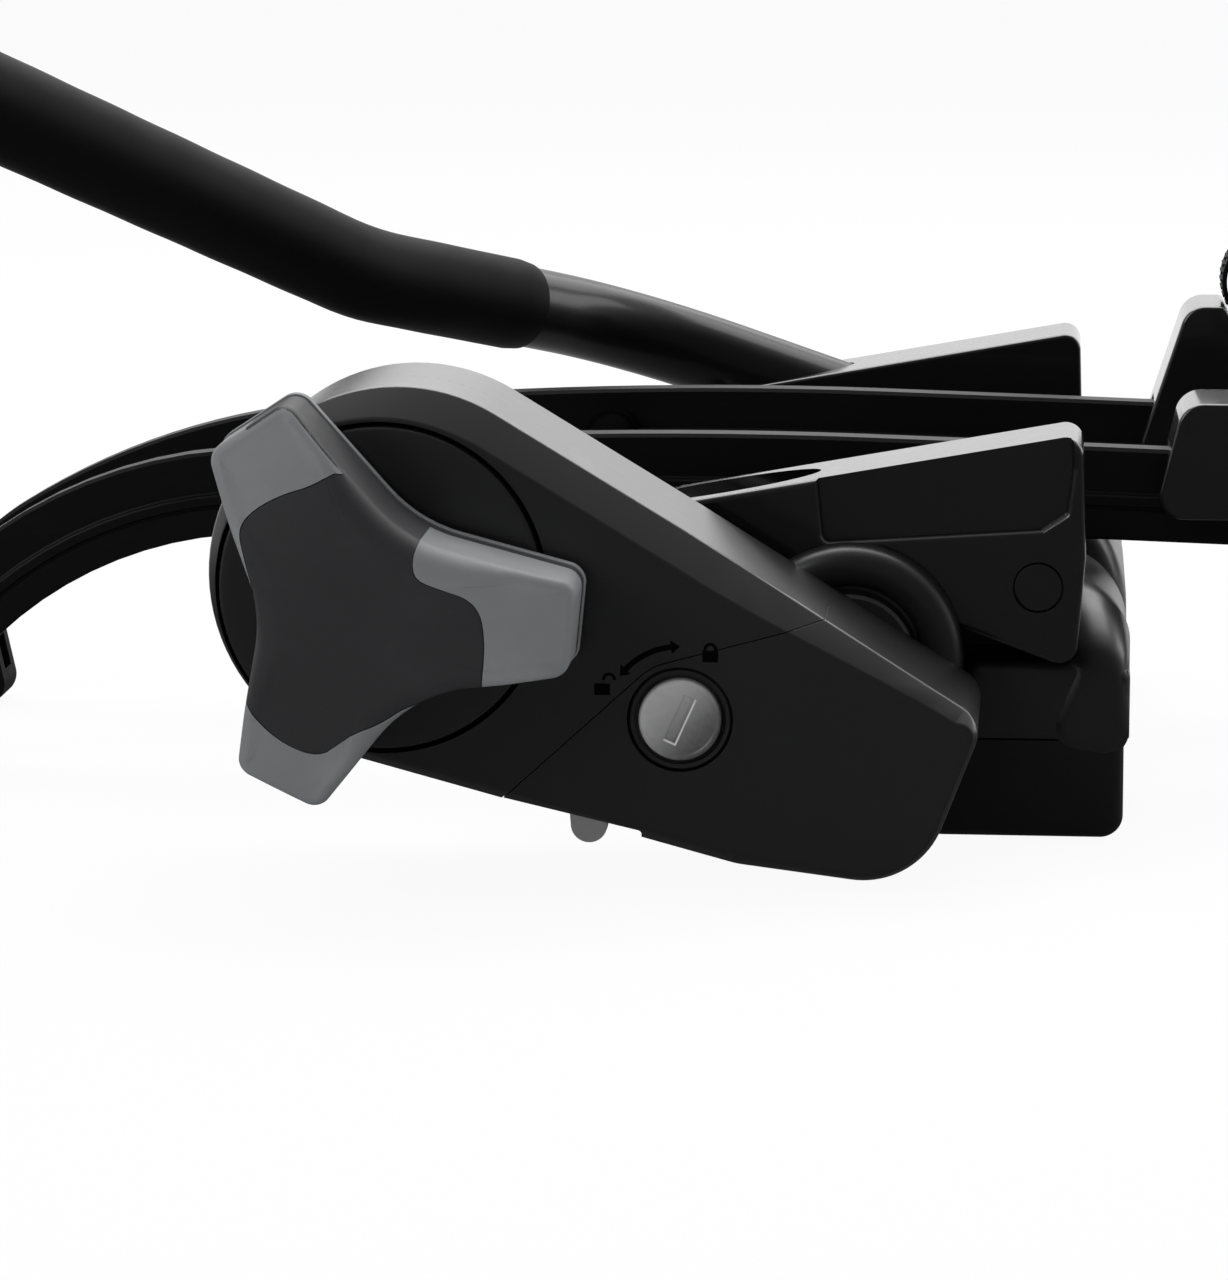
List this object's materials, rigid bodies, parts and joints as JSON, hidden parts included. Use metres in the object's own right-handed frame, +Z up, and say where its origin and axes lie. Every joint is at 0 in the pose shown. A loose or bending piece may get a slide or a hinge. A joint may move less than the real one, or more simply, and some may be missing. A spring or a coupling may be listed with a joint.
{
  "type": "bicycle carrier hub",
  "caption": "Folding bicycle carrier hub with ratchet tension knob, key lock, two carrying arms, strap cradles and a padded support tube.",
  "frame": {"origin": "on the flat underside, below the middle of the axle that the arms and the reel case turn on", "axes": "+X along the carrying arms towards the cradles, +Y across the carrier away from the reel case, +Z up"},
  "size_m": [0.5983, 0.341, 0.2006],
  "materials": {
    "shell_black": "fine-grained injection moulding",
    "gloss_black": "satin black moulding",
    "grip_grey": "soft-touch overmould",
    "knob_core": "fine-grained moulding",
    "arm_black": "black anodised extrusion",
    "tube_black": "black powder coat",
    "rubber_black": "moulded rubber",
    "steel": "turned and brushed",
    "zinc": "zinc plated",
    "nylon_grey": "moulded nylon",
    "lever_grey": "moulded plastic"
  },
  "bodies": {
    "hub": {"base_block": "gloss_black", "base_pad": "rubber_black", "base_screws": "zinc", "hub_cover": "gloss_black", "axle": "zinc", "near_washer": "zinc", "near_nut": "zinc", "far_nut": "zinc", "far_cap": "gloss_black", "near_head": "gloss_black", "near_head_cap": "gloss_black", "far_head": "gloss_black", "far_head_cap": "gloss_black", "head_bolts": "zinc", "support_tube": "tube_black", "tube_sleeve": "rubber_black", "tube_cap": "rubber_black"},
    "arms": {"near_arm": "arm_black", "far_arm": "arm_black", "near_bracket": "arm_black", "far_bracket": "arm_black", "arm_bushes": "nylon_grey", "near_arm_foot": "rubber_black", "far_arm_foot": "rubber_black", "arm_end_caps": "rubber_black", "left_tie": "tube_black", "right_tie": "tube_black"},
    "reel_case": {"reel_cover": "shell_black", "lock_cover": "shell_black", "rear_shell": "shell_black", "pivot_ring": "gloss_black", "shaft_bush": "nylon_grey", "lock_sleeve": "shell_black", "lever_pin": "steel", "lever_spring": "steel", "outlet_grommet": "rubber_black", "shell_screws": "zinc"},
    "knob": {"knob_core": "knob_core", "knob_grip_1": "grip_grey", "knob_grip_2": "grip_grey", "knob_grip_3": "grip_grey", "dial_disc": "shell_black", "knob_shaft": "steel", "ratchet_wheel": "steel", "cable_drum": "nylon_grey", "shaft_screw": "zinc"},
    "lock_barrel": {"lock_plug": "steel"},
    "lock_bar": {"lock_bolt": "zinc"},
    "lever": {"release_lever": "lever_grey"},
    "cradle_near_1": {"near_cradle_1": "gloss_black", "near_strap_1": "rubber_black"},
    "cradle_near_2": {"near_cradle_2": "gloss_black", "near_strap_2": "rubber_black"},
    "cradle_far_1": {"far_cradle_1": "gloss_black", "far_strap_1": "rubber_black"},
    "cradle_far_2": {"far_cradle_2": "gloss_black", "far_strap_2": "rubber_black"}
  },
  "joints": [
    {"name": "arms_fold", "type": "hinge", "parent": "hub", "child": "arms", "pos_m": [0, 0, 0.046], "axis": [0, -1, 0], "range_deg": [0, 75]},
    {"name": "reel_swing", "type": "hinge", "parent": "hub", "child": "reel_case", "pos_m": [0, -0.14, 0.046], "axis": [0, 1, 0], "range_deg": [-15, 80]},
    {"name": "knob_turn", "type": "hinge", "parent": "reel_case", "child": "knob", "pos_m": [-0.1053, -0.19, 0.0698], "axis": [0, -1, 0], "continuous": true},
    {"name": "key_turn", "type": "hinge", "parent": "reel_case", "child": "lock_barrel", "pos_m": [-0.0367, -0.17, 0.0403], "axis": [0, 1, 0], "range_deg": [0, 90]},
    {"name": "bolt_slide", "type": "slide", "parent": "reel_case", "child": "lock_bar", "axis": [-1, 0, 0], "range_m": [0, 0.0048]},
    {"name": "lever_press", "type": "hinge", "parent": "reel_case", "child": "lever", "pos_m": [-0.06, -0.15, 0.036], "axis": [0, -1, 0], "range_deg": [0, 8], "stiffness_Nm_per_rad": 0.05, "springref_deg": -8.59},
    {"name": "slide_near_1", "type": "slide", "parent": "arms", "child": "cradle_near_1", "axis": [0.9995, 0, -0.0314], "range_m": [-0.006, 0.04]},
    {"name": "slide_near_2", "type": "slide", "parent": "arms", "child": "cradle_near_2", "axis": [0.9995, 0, -0.0314], "range_m": [-0.04, 0.026]},
    {"name": "slide_far_1", "type": "slide", "parent": "arms", "child": "cradle_far_1", "axis": [0.9995, 0, -0.0314], "range_m": [-0.006, 0.04]},
    {"name": "slide_far_2", "type": "slide", "parent": "arms", "child": "cradle_far_2", "axis": [0.9995, 0, -0.0314], "range_m": [-0.04, 0.026]}
  ],
  "couplings": [
    {"joint": "bolt_slide", "follows": "key_turn", "m_per_rad": 0.00293}
  ]
}
